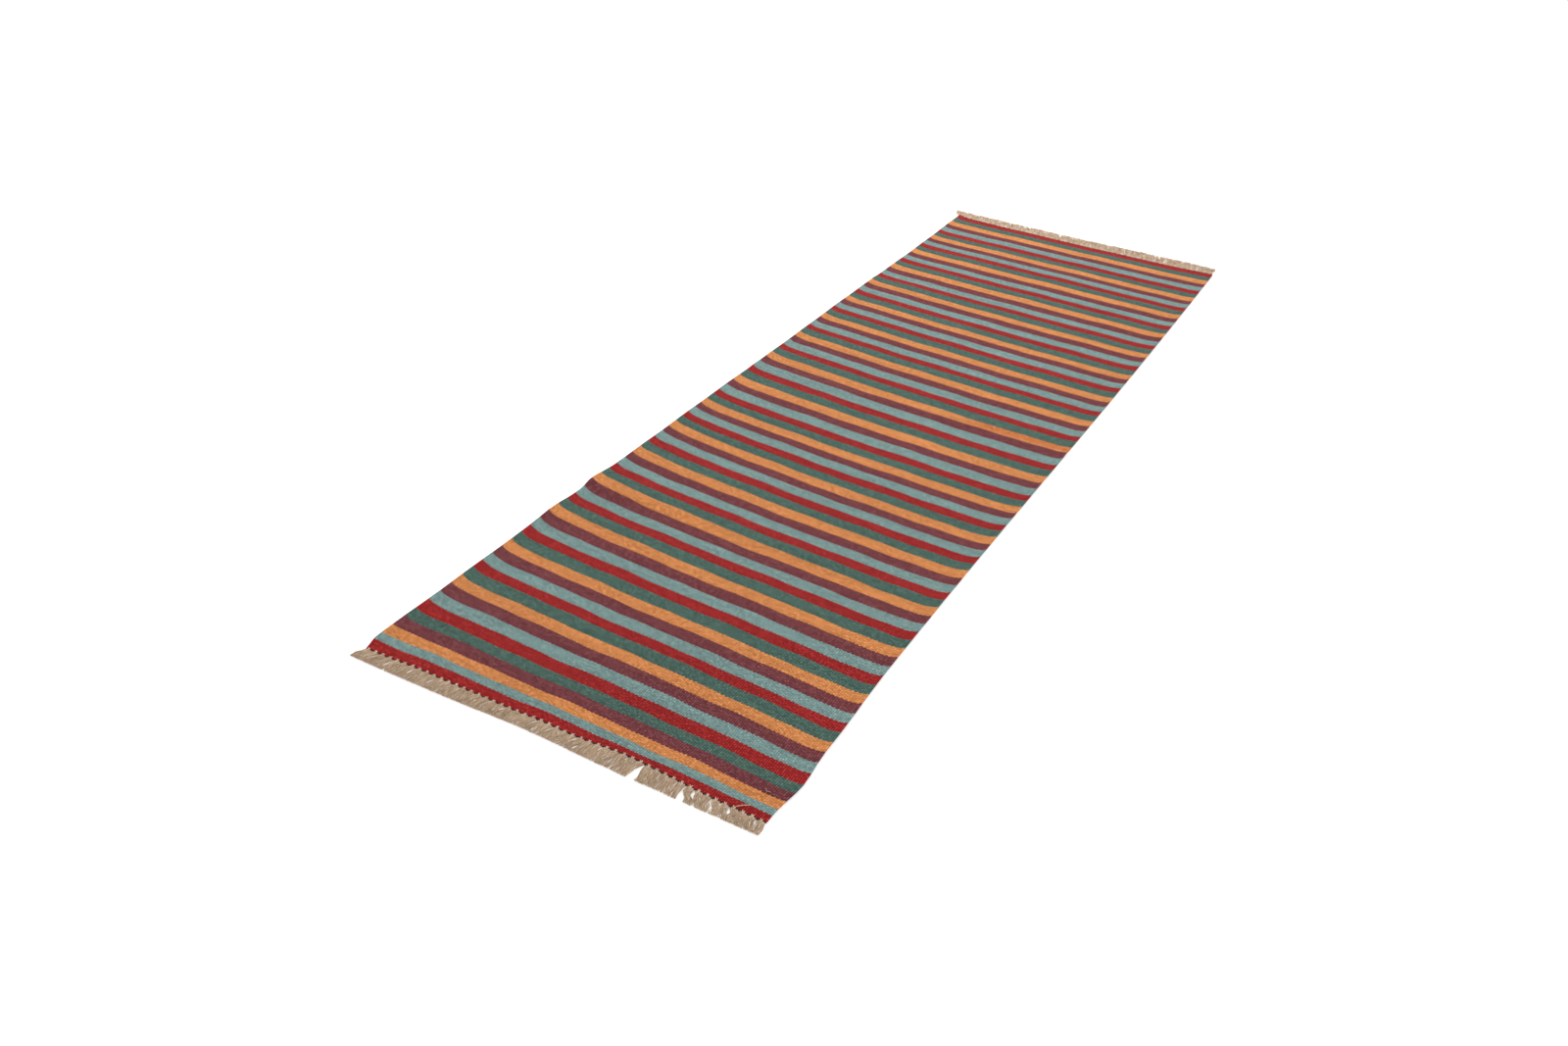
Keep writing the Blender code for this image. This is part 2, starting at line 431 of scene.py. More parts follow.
@dataclass
class Weave:
    """The straight layout: where each stripe starts and ends, worked out as in the frame."""

    near_end: float
    far_end: float
    widths: dict[Dye, float] = field(
        default_factory=lambda: {
            Dye.RED: 0.0265,
            Dye.GREEN: 0.0302,
            Dye.ORANGE: 0.0300,
            Dye.PLUM: 0.0286,
            Dye.TEAL: 0.0306,
        }
    )
    border: tuple[tuple[Dye, float], ...] = (
        (Dye.RED, 0.016),
        (Dye.TEAL, 0.019),
        (Dye.ORANGE, 0.023),
        (Dye.PLUM, 0.027),
        (Dye.GREEN, 0.025),
        (Dye.RED, 0.030),
    )
    order: tuple[Dye, ...] = (Dye.TEAL, Dye.PLUM, Dye.ORANGE, Dye.GREEN, Dye.RED)
    repeats: int = 17
    drift: float = 0.015
    variation: float = 0.05
    turn: float = 2.4
    loose: Hump = Hump(0.46, 0.07, 0.07)

    def stripes(self) -> list[Stripe]:
        """Lay out the stripes.

        Returns:
            The stripes from the near end to the far end.
        """
        count = self.repeats * len(self.order)
        drafts = []
        for index in range(count):
            dye = self.order[index % len(self.order)]
            along = (index + 0.5) / count
            beating = 1.0 - self.drift * math.cos(math.pi * along)
            beating += self.variation * math.sin(self.turn * index)
            beating += float(self.loose.at(along))
            drafts.append((dye, self.widths[dye] * beating))
        room = self.far_end - self.near_end - sum(width for _, width in self.border)
        fit = room / sum(width for _, width in drafts)
        start = self.near_end
        stripes = []
        for dye, width in [*self.border, *((dye, width * fit) for dye, width in drafts)]:
            stripes.append(Stripe(len(stripes), dye, start, start + width))
            start += width
        return stripes


@dataclass
class Lay:
    """How the straight cloth lies on the floor. Shares run 0 at the far end to 1 at the near end."""

    near_end: float
    far_end: float
    half_width: float
    creases: tuple[float, float, float]
    left_start: float = 0.006
    left_drop: float = 0.010
    left_lean: float = 0.041
    left_power: float = 1.6
    right_start: float = 0.002
    right_lean: float = 0.019
    right_reach: float = 0.25
    right_release: float = 0.65
    near_right_pull: Hump = Hump(0.89, 0.11, 0.011)
    cubic: float = 0.012
    near_hold: int = 40
    lift_hold: int = 20
    beaten: float = 0.0105
    uneven: tuple[Hump, ...] = (
        Hump(0.545, 0.065, -0.0055),
        Hump(0.035, 0.050, -0.0055),
        Hump(0.860, 0.045, -0.0030),
        Hump(0.145, 0.050, 0.0030),
        Hump(0.700, 0.060, 0.0015),
    )
    left_slack: Hump = Hump(0.93, 0.10, 0.0100)
    tight_place: float = 0.570
    tight_reach: float = 0.050
    left_tight: float = 0.0075
    right_tight: float = 0.0035
    far_turn: Hump = Hump(0.035, 0.050, 1.0)
    far_turn_right: float = 0.0035
    far_turn_left: float = 0.0045
    edge_lift: float = 0.012
    edge_reach: float = 0.014
    corner_reach: float = 0.05
    far_left_lift: float = 0.003
    far_right_lift: float = -0.010
    wave: float = 0.0008
    long_wave: float = 0.26
    short_wave: float = 0.13
    near_edge_in: float = 0.0055
    near_edge_tilt: float = 0.0022
    near_edge: Hump = Hump(0.150, 0.070, 0.008)
    near_edge_reach: float = 0.009
    left_draw: float = 0.0045
    left_waver: float = 0.0008
    near_left_draw: float = 0.009
    near_left_reach: float = 0.012
    right_draw: float = 0.004
    right_edge: tuple[Hump, ...] = (
        Hump(0.22, 0.20, 0.0025),
        Hump(0.75, 0.25, -0.007),
        Hump(0.958, 0.022, 0.009),
        Hump(0.905, 0.040, 0.0045),
    )
    ridge_offset: float = 0.028
    ridge_near_reach: float = 0.020
    ridge_far_reach: float = 0.055
    ridge_height: float = 0.0012
    ridge_left: float = 0.0062
    second_ridge: Hump = Hump(-0.100, 0.045, 0.0008)
    second_left: float = 0.0042
    centre_ridge: Hump = Hump(0.006, 0.016, 0.0010)
    centre_right: float = 0.0016
    far_ridge: Hump = Hump(-0.004, 0.016, 0.0012)
    swell: float = 0.0009
    corner_rise: float = 0.0022
    corner_rise_reach: float = 0.03

    def share(self, y: Points) -> Points:
        """How far towards the near end, 0 to 1."""
        return np.clip((self.far_end - y) / (self.far_end - self.near_end), 0.0, 1.0)

    def lean(self, x: Points, y: Points) -> Points:
        """How far the cloth is pulled towards the far end.

        Args:
            x: straight places across.
            y: straight places along.

        Returns:
            The pull at each place.
        """
        v = self.share(y)
        s = x / self.half_width
        left = self.left_start - self.left_drop * v
        left = left + self.left_lean * np.sin(math.pi * v**self.left_power)
        right = self.right_lean * (1.0 - np.exp(-v / self.right_reach))
        right = right * (1.0 - self.right_release * v**self.near_hold)
        right = self.right_start - right - self.near_right_pull.at(v)
        third = -self.cubic * v**3 * (1.0 - v**12)
        square = 0.5 * (left + right)
        first = 0.5 * (right - left) - third
        pulled = third * s**3 + square * s**2 + first * s
        corner = np.exp(-v / self.corner_reach)
        lift = self.edge_lift * (1.0 - v**self.lift_hold)
        at_left = np.exp(-(x + self.half_width) / self.edge_reach)
        at_right = np.exp(-(self.half_width - x) / self.edge_reach)
        pulled = pulled + (lift + self.far_left_lift * corner) * at_left
        pulled = pulled + (lift + self.far_right_lift * corner) * at_right
        edge = self.near_edge.at(x) - self.near_edge_in + self.near_edge_tilt * s
        edge = edge * bump(y, self.near_end, self.near_edge_reach)
        return pulled + self.slip(s, v) + self.wave * self.waves(x, y) + edge

    def waves(self, x: Points, y: Points) -> Points:
        """Long and short waves of the weft lines across the rug."""
        long = np.sin(TURN * x / self.long_wave + 2.1 * np.sin(3.1 * y))
        return long + 0.6 * np.sin(TURN * x / self.short_wave + 4.0 * np.sin(2.3 * y + 1.0))

    def slip(self, s: Points, v: Points) -> Points:
        """How far the rows have been beaten up away from their even places.

        Args:
            s: places across, -1 at the left edge to 1 at the right edge.
            v: shares along.

        Returns:
            The slip at each place, towards the far end.
        """
        to_left, to_right = 0.5 - 0.5 * s, 0.5 + 0.5 * s
        even = -self.beaten * (1.0 - np.exp((v - 1.0) / self.corner_reach))
        tight = bump(v, self.tight_place, self.tight_reach)
        left = self.left_slack.at(v) * (1.0 - v**self.near_hold) * to_left**3
        left = left - self.left_tight * tight * to_left**2
        right = -self.right_tight * tight * to_right**4
        far = self.far_turn.at(v) * (self.far_turn_right * to_right - self.far_turn_left * to_left)
        return even + heights(self.uneven, v) + left + right + far

    def sideways(self, x: Points, y: Points) -> Points:
        """How far the cloth is drawn to one side.

        Args:
            x: straight places across.
            y: straight places along.

        Returns:
            The draw at each place, towards the right.
        """
        s = x / self.half_width
        left = self.left_draw + self.left_waver * np.sin(9.0 * y)
        left = left + self.near_left_draw * bump(y, self.near_end, self.near_left_reach)
        right = self.right_draw + heights(self.right_edge, self.share(y))
        return left * (0.5 - 0.5 * s) ** 2 + right * (0.5 + 0.5 * s) ** 2

    def rise(self, x: Points, y: Points) -> Points:
        """How far the cloth stands off the floor.

        Args:
            x: laid places across.
            y: laid places along.

        Returns:
            The height of the underside at each place.
        """
        near, centre, far = self.creases
        s = np.clip(x / self.half_width, -1.0, 1.0)
        left = (0.5 - 0.5 * s) ** 1.5
        top = near + self.ridge_offset
        ridge = bump(y, top, np.where(y < top, self.ridge_near_reach, self.ridge_far_reach))
        second, middle = self.second_ridge, self.centre_ridge
        height = ridge * (self.ridge_height + self.ridge_left * left)
        second_height = second.height + self.second_left * left
        height = height + bump(y, near + second.middle, second.reach) * second_height
        middle_height = middle.height + self.centre_right * (1.0 - left)
        height = height + bump(y, centre + middle.middle, middle.reach) * middle_height
        height = height + self.far_ridge.at(y - far)
        swell = np.sin(TURN * y / 0.31 + 1.4 * s) * np.sin(TURN * y / 0.47 - 0.8 * s + 1.0)
        quiet = 1.0 - np.maximum(bump(y, near, 0.05), bump(y, centre, 0.06))
        height = height + self.swell * (1.0 + swell) * quiet
        corner = np.exp(-self.share(y) / self.corner_rise_reach)
        return height + self.corner_rise * corner * (0.3 + s**2)

    def place(self, points: Points) -> Points:
        """Lay straight points down.

        Args:
            points: their straight places.

        Returns:
            Their places on the floor.
        """
        x, y, z = points.T
        laid_x = x + self.sideways(x, y)
        laid_y = y + self.lean(x, y)
        return np.stack((laid_x, laid_y, z + self.rise(laid_x, laid_y)), axis=1)


@dataclass(frozen=True)
class Crease:
    """A fold: the two bodies it joins and the stretch of cloth that bends."""

    near_body: str
    far_body: str
    place: float
    reach: float

    def touches(self, points: Points) -> bool:
        """Whether any of the points lies where the cloth bends."""
        return bool(np.any(np.abs(points[:, 1] - self.place) < self.reach))

    def bend(self, piece: bpy.types.Object) -> None:
        """Bake a piece's transform into its mesh; the piece is not bent over the fold.

        Args:
            piece: a piece that crosses it.
        """
        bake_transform(piece)


@dataclass
class Folds:
    """The three creases, and the body of any stretch of cloth."""

    quarter_reach: float = 0.010
    centre_reach: float = 0.024

    def __post_init__(self) -> None:
        """Read the creases from the frame's joints."""
        places = {joint["name"]: joint["pos_m"][1] for joint in frame["joints"]}
        self.creases = (
            self._crease("near_quarter_fold", "near_panel", "near_middle_panel", places),
            self._crease("centre_fold", "near_middle_panel", "far_middle_panel", places),
            self._crease("far_quarter_fold", "far_middle_panel", "far_panel", places),
        )

    def _crease(self, joint: str, near_body: str, far_body: str, places: dict[str, float]) -> Crease:
        """One crease at its joint's place.

        Args:
            joint: the joint's name.
            near_body: the body on its near side.
            far_body: the body on its far side.
            places: each joint's place along the rug.

        Returns:
            The crease.
        """
        reach = self.centre_reach if joint == "centre_fold" else self.quarter_reach
        return Crease(near_body, far_body, places[joint], reach)

    def body_at(self, y: float) -> str:
        """The body of the panel at a place along the rug.

        Args:
            y: the place.

        Returns:
            The body's name.
        """
        for crease in self.creases:
            if y < crease.place:
                return crease.near_body
        return self.creases[-1].far_body

    def carry(self, piece: bpy.types.Object) -> None:
        """Bake the transform of a piece that crosses a crease, or let it ride on its panel.

        Args:
            piece: the finished piece.
        """
        points = coordinates(piece.data)
        for crease in self.creases:
            if crease.touches(points):
                crease.bend(piece)
                return
        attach(piece, self.body_at(float(points[:, 1].mean())))


# ---- Mesh helpers ----


def coordinates(mesh: bpy.types.Mesh) -> Points:
    """Read a mesh's vertices.

    Args:
        mesh: the mesh.

    Returns:
        Their places as an array.
    """
    flat = np.empty(len(mesh.vertices) * 3)
    mesh.vertices.foreach_get("co", flat)
    return flat.reshape(-1, 3)


def add_object(name: str, mesh: bpy.types.Mesh, material: bpy.types.Material) -> bpy.types.Object:
    """Link a mesh as an object with one material.

    Args:
        name: the object's name.
        mesh: its mesh.
        material: its finish.

    Returns:
        The object.
    """
    mesh.materials.clear()
    mesh.materials.append(material)
    piece = bpy.data.objects.new(name, mesh)
    bpy.context.scene.collection.objects.link(piece)
    return piece


def move_to(mesh: bpy.types.Mesh, points: Points) -> None:
    """Put the mesh's vertices at the points."""
    mesh.vertices.foreach_set("co", points.astype(np.float32).ravel())
    mesh.update()


@dataclass
class Yarns:
    """Round yarns swept along paths, made as one piece."""

    name: str
    radius: float
    sides: int = 6

    def __post_init__(self) -> None:
        """Start an empty curve."""
        self.curve = bpy.data.curves.new(self.name, "CURVE")
        self.curve.dimensions = "3D"
        self.curve.bevel_depth = self.radius
        self.curve.bevel_resolution = (self.sides - 4) // 2
        self.curve.use_fill_caps = True

    def add(self, path: Points, swell: Points | float = 1.0) -> None:
        """Add one yarn.

        Args:
            path: its centre line.
            swell: its radius at each point, as a share of the usual one.
        """
        spline = self.curve.splines.new("POLY")
        spline.points.add(len(path) - 1)
        spline.points.foreach_set("co", np.column_stack((path, np.ones(len(path)))).ravel())
        spline.points.foreach_set("radius", np.broadcast_to(swell, len(path)).astype(float))

    def piece(self, material: bpy.types.Material) -> bpy.types.Object:
        """Finish the yarns.

        Args:
            material: their finish.

        Returns:
            One mesh object that holds them all.
        """
        guide = bpy.data.objects.new(self.name + "_guide", self.curve)
        bpy.context.scene.collection.objects.link(guide)
        bpy.context.view_layer.update()
        evaluated = guide.evaluated_get(bpy.context.evaluated_depsgraph_get())
        mesh = bpy.data.meshes.new_from_object(evaluated)
        bpy.data.objects.remove(guide)
        bm = bmesh.new()
        bm.from_mesh(mesh)
        bmesh.ops.recalc_face_normals(bm, faces=bm.faces)
        bm.to_mesh(mesh)
        bm.free()
        mesh.name = self.name
        mesh.shade_smooth()
        return add_object(self.name, mesh, material)


# ---- Weft ----


@dataclass
class Sleeves:
    """The weft stripes: each a closed sleeve of cloth around the warps, ribbed over each warp."""

    lay: Lay
    folds: Folds
    thickness: float
    warps: int = 195
    rib: float = 0.00028
    hollow: float = 0.0016
    edge_wall: float = 0.0012
    float_length: float = 0.0017
    tooth: float = 0.00085
    rim: float = 0.0015
    rim_drop: float = 0.00014
    inset: float = 0.00005
    fine_row: float = 0.0032
    waver: float = 0.0006
    fold_reach: float = 0.085
    rounding: tuple[float, ...] = (0.0, 0.05, 0.18, 0.42, 0.72)

    def __post_init__(self) -> None:
        """Work out the stations around the section."""
        last = [self.warps - value for value in reversed(self.rounding)]
        inner = range(1, self.warps - 1)
        ribbed = [warp + part for warp in inner for part in (0.0, 0.3, 0.7)]
        coarse = [warp + part for warp in inner for part in (0.0, 0.5)]
        top = [*self.rounding, *ribbed, self.warps - 1.0, *last]
        bottom = [*self.rounding, *coarse, self.warps - 1.0, *last]
        self.station = np.array([*top, *bottom[-2:0:-1]])
        self.side = np.array([1.0] * len(top) + [-1.0] * (len(bottom) - 2))
        self.side[[0, len(top) - 1]] = 0.0
        self.templates: dict[int, bpy.types.Mesh] = {}

    def boundary(self, number: int, straight: float) -> Points:
        """The toothed line between two stripes.

        Args:
            number: which line, counted from the near end.
            straight: its place along the rug without teeth.

        Returns:
            Its place at each station.
        """
        if straight <= self.lay.near_end or straight >= self.lay.far_end:
            return np.full(len(self.station), straight)
        warp = np.clip(np.floor(self.station), 0, self.warps - 1)
        on_rib = (~self.between_ribs()).astype(float)
        tooth = self.tooth * on_rib * np.where(warp % 2 == 0, 1.0, -1.0)
        turn = TURN * self.across()
        wavering = np.sin(turn / 0.19 + 2.4 * number) + 0.7 * np.sin(turn / 0.083 + 5.1 * number)
        return straight + tooth + self.waver * wavering

    def across(self) -> Points:
        """Each station's straight place across the rug."""
        return (self.station / self.warps - 0.5) * 2.0 * self.lay.half_width

    def between_ribs(self) -> Points:
        """Which stations are in a valley between two ribs."""
        return np.abs(self.station - np.round(self.station)) < 0.02

    def template(self, bands: int) -> bpy.types.Mesh:
        """A closed ring of quads, around the section and out over the sleeve and back inside.

        Args:
            bands: how many quads there are across the outside.

        Returns:
            A mesh whose vertices know their station and row.
        """
        if bands not in self.templates:
            around = len(self.station)
            along = bands + 3
            bm = bmesh.new()
            at_station = bm.verts.layers.int.new("station")
            at_row = bm.verts.layers.int.new("row")
            bm.loops.layers.uv.new("weave")
            bmesh.ops.create_grid(bm, x_segments=around, y_segments=along, size=0.5)
            for vert in bm.verts:
                station = round((vert.co.x + 0.5) * around) % around
                row = round((vert.co.y + 0.5) * along) % along
                vert[at_station], vert[at_row] = station, row
                turn, roll = TURN * station / around, TURN * row / along
                vert.co = Vector((math.cos(turn), math.sin(turn), 0.0)) * (1.0 + 0.4 * math.cos(roll))
                vert.co.z = -0.4 * math.sin(roll)
            bmesh.ops.remove_doubles(bm, verts=bm.verts, dist=1e-5)
            bmesh.ops.recalc_face_normals(bm, faces=bm.faces)
            mesh = bpy.data.meshes.new(f"sleeve_{bands}")
            bm.to_mesh(mesh)
            bm.free()
            mesh.shade_smooth()
            self.templates[bands] = mesh
        return self.templates[bands].copy()

    def rows(self, width: float, fine: bool) -> list[float]:
        """Space out the rows of the outside.

        Args:
            width: the stripe's width.
            fine: whether it lies near a crease.

        Returns:
            Shares of the width at which there is a row.
        """
        inner = [self.rim / width, 1.0 - self.rim / width]
        count = round((width - 2.0 * self.rim) / self.fine_row) if fine else 1
        middle = np.linspace(inner[0], inner[1], count + 1)
        return [0.0, *middle, 1.0]

    def section(self, rows: list[float]) -> tuple[Points, Points]:
        """The sleeve's section, the outside rows first and then the two inside ones.

        Args:
            rows: shares of the width at which the outside has a row.

        Returns:
            X and Z at each row and station.
        """
        x = self.across()
        from_edge = np.minimum(self.station, self.warps - self.station) / self.warps * 2.0
        from_edge = from_edge * self.lay.half_width
        half = 0.5 * self.thickness
        rounding = np.sqrt(np.clip(1.0 - (1.0 - np.minimum(from_edge / half, 1.0)) ** 2, 0.0, 1.0))
        valley = self.between_ribs() & (from_edge > half)
        outside = self.side * (half * rounding - self.rib * valley)
        inside = self.side * 0.5 * self.hollow * rounding
        x_inside = x * (1.0 - self.edge_wall / self.lay.half_width)
        drops = [self.rim_drop if share in (0.0, 1.0) else 0.0 for share in rows]
        z = [outside - self.side * drop * rounding for drop in drops] + [inside, inside]
        return np.array([x] * len(rows) + [x_inside] * 2), np.array(z) + half

    def build(self, stripe: Stripe, material: bpy.types.Material) -> bpy.types.Object:
        """One stripe, shaped, laid down and carried by its panel unless it crosses a crease.

        Args:
            stripe: its place in the layout.
            material: its finish.

        Returns:
            The finished piece.
        """
        middle = 0.5 * (stripe.start + stripe.end)
        near_fold = any(abs(middle - crease.place) < self.fold_reach for crease in self.folds.creases)
        width = stripe.end - stripe.start
        rows = self.rows(width, near_fold)
        start = self.boundary(stripe.number, stripe.start) + self.inset
        end = self.boundary(stripe.number + 1, stripe.end) - self.inset
        x, z = self.section(rows)
        shares = np.array([*rows, 1.0, 0.0])[:, None]
        y = start[None, :] + (end - start)[None, :] * shares
        mesh = self.template(len(rows) - 1)
        mesh.name = f"stripe_{stripe.number + 1:02d}_{stripe.dye.value}"
        station = np.empty(len(mesh.vertices), np.int32)
        row = np.empty(len(mesh.vertices), np.int32)
        mesh.attributes["station"].data.foreach_get("value", station)
        mesh.attributes["row"].data.foreach_get("value", row)
        straight = np.stack((x[row, station], y[row, station], z[row, station]), axis=1)
        move_to(mesh, self.lay.place(straight))
        weft_row = (straight[:, 1] - self.lay.near_end) / self.float_length
        self.map_weave(mesh, self.station[station], weft_row)
        for name in ("station", "row"):
            mesh.attributes.remove(mesh.attributes[name])
        mesh.set_sharp_from_angle(angle=math.radians(50.0))
        piece = add_object(mesh.name, mesh, material)
        self.folds.carry(piece)
        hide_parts(f"{stripe.dye.value}_weft_{self.panel_of(middle)}")
        return piece

    def panel_of(self, y: float) -> str:
        """The frame's name for the panel at a place."""
        return self.folds.body_at(y).removesuffix("_panel")

    @staticmethod
    def map_weave(mesh: bpy.types.Mesh, warp: Points, row: Points) -> None:
        """Set the cloth's own map: warps across, weft rows along.

        Args:
            mesh: a sleeve's mesh.
            warp: place across at each vertex, in warps.
            row: place along at each vertex, in weft rows.
        """
        corner = np.empty(len(mesh.loops), np.int32)
        mesh.loops.foreach_get("vertex_index", corner)
        values = np.column_stack((warp[corner], row[corner])).astype(np.float32)
        mesh.uv_layers["weave"].data.foreach_set("uv", values.ravel())


# ---- Warps inside the weft ----


@dataclass
class Warps:
    """The warps inside the sleeves: a ribbed sheet and a doubled yarn in each edge."""

    lay: Lay
    folds: Folds
    mid_height: float
    ribs: int = 96
    rib_height: float = 0.0010
    sheet_margin: float = 0.0160
    edge_margin: float = 0.0032
    edge_radius: float = 0.0006
    past_crease: float = 0.060
    past_end: float = 0.002
    valley_share: float = 0.35
    least_gap: float = 0.0015
    row: float = 0.020
    fine_row: float = 0.004
    fine_reach: float = 0.080

    def stretches(self) -> list[tuple[str, float, float]]:
        """Divide the warps, each stretch running a little past the next crease.

        Returns:
            Each stretch's name, start and end.
        """
        places = [crease.place + self.past_crease for crease in self.folds.creases]
        ends = [self.lay.near_end - self.past_end, *places, self.lay.far_end + self.past_end]
        names = ("near", "near_middle", "far_middle", "far")
        return [(name, ends[n], ends[n + 1]) for n, name in enumerate(names)]

    def lines(self, start: float, end: float) -> Points:
        """Places along a stretch, closer together over a crease.

        Args:
            start: where the stretch starts.
            end: where it ends.

        Returns:
            The places in order.
        """
        coarse = np.linspace(start, end, max(2, round((end - start) / self.row)))
        places = [coarse]
        for crease in self.folds.creases:
            first, last = crease.place - self.fine_reach, crease.place + self.fine_reach
            fine = np.arange(first, last, self.fine_row)
            places.append(fine[(fine > start + self.past_end) & (fine < end - self.past_end)])
        merged = np.sort(np.concatenate(places))
        keep = np.concatenate(([True], np.diff(merged) > self.least_gap))
        merged = merged[keep]
        merged[-1] = end
        return merged

    def sheet(
        self, name: str, start: float, end: float, material: bpy.types.Material
    ) -> bpy.types.Object:
        """One stretch of the warps, side by side.

        Args:
            name: the piece's name.
            start: where the stretch starts.
            end: where it ends.
            material: its finish.

        Returns:
            The finished piece.
        """
        along = self.lines(start, end)
        columns = 2 * self.ribs
        bm = bmesh.new()
        bmesh.ops.create_grid(bm, x_segments=columns, y_segments=len(along) - 1, size=0.5)
        half = self.lay.half_width - self.sheet_margin
        for vert in bm.verts:
            column = round((vert.co.x + 0.5) * columns)
            row = round((vert.co.y + 0.5) * (len(along) - 1))
            lift = 0.5 * self.rib_height * (self.valley_share if column % 2 == 0 else 1.0)
            vert.co = Vector(((2.0 * column / columns - 1.0) * half, along[row], self.mid_height + lift))
        lower = bmesh.ops.extrude_face_region(bm, geom=bm.faces[:])["geom"]
        for vert in (item for item in lower if isinstance(item, bmesh.types.BMVert)):
            vert.co.z = 2.0 * self.mid_height - vert.co.z
        bmesh.ops.recalc_face_normals(bm, faces=bm.faces)
        mesh = bpy.data.meshes.new(name)
        bm.to_mesh(mesh)
        bm.free()
        move_to(mesh, self.lay.place(coordinates(mesh)))
        mesh.shade_smooth()
        return add_object(name, mesh, material)

    def edge(
        self, name: str, side: float, start: float, end: float, material: bpy.types.Material
    ) -> bpy.types.Object:
        """One stretch of the doubled yarn in an edge.

        Args:
            name: the piece's name.
            side: -1 for the left edge or 1 for the right.
            start: where the stretch starts.
            end: where it ends.
            material: its finish.

        Returns:
            The finished piece.
        """
        yarns = Yarns(name, self.edge_radius)
        along = self.lines(start, end)
        for offset in (-1.0, 1.0):
            x = side * (self.lay.half_width - self.edge_margin + offset * 1.05 * self.edge_radius)
            path = np.column_stack((np.full(len(along), x), along, np.full(len(along), self.mid_height)))
            yarns.add(self.lay.place(path))
        return yarns.piece(material)

    def build(self, material: bpy.types.Material) -> list[bpy.types.Object]:
        """All the warps; a stretch that crosses a crease keeps its transform baked in, the others ride on
        their panel.

        Args:
            material: their finish.

        Returns:
            The finished pieces.
        """
        made = []
        for panel, start, end in self.stretches():
            sheet = self.sheet(f"warps_{panel}", start, end, material)
            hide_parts(f"warp_{panel}")
            made.append(sheet)
            for side_name, side in (("left", -1.0), ("right", 1.0)):
                edge = self.edge(f"edge_yarns_{side_name}_{panel}", side, start, end, material)
                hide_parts(f"edge_warp_{side_name}_{panel}")
                made.append(edge)
        for piece in made:
            self.folds.carry(piece)
        return made


# ---- Twined rows, stitches and fringe ----


@dataclass(frozen=True)
class Lock:
    """How one bundle's strands curl together."""

    curl: float
    phase: float
    waves: float


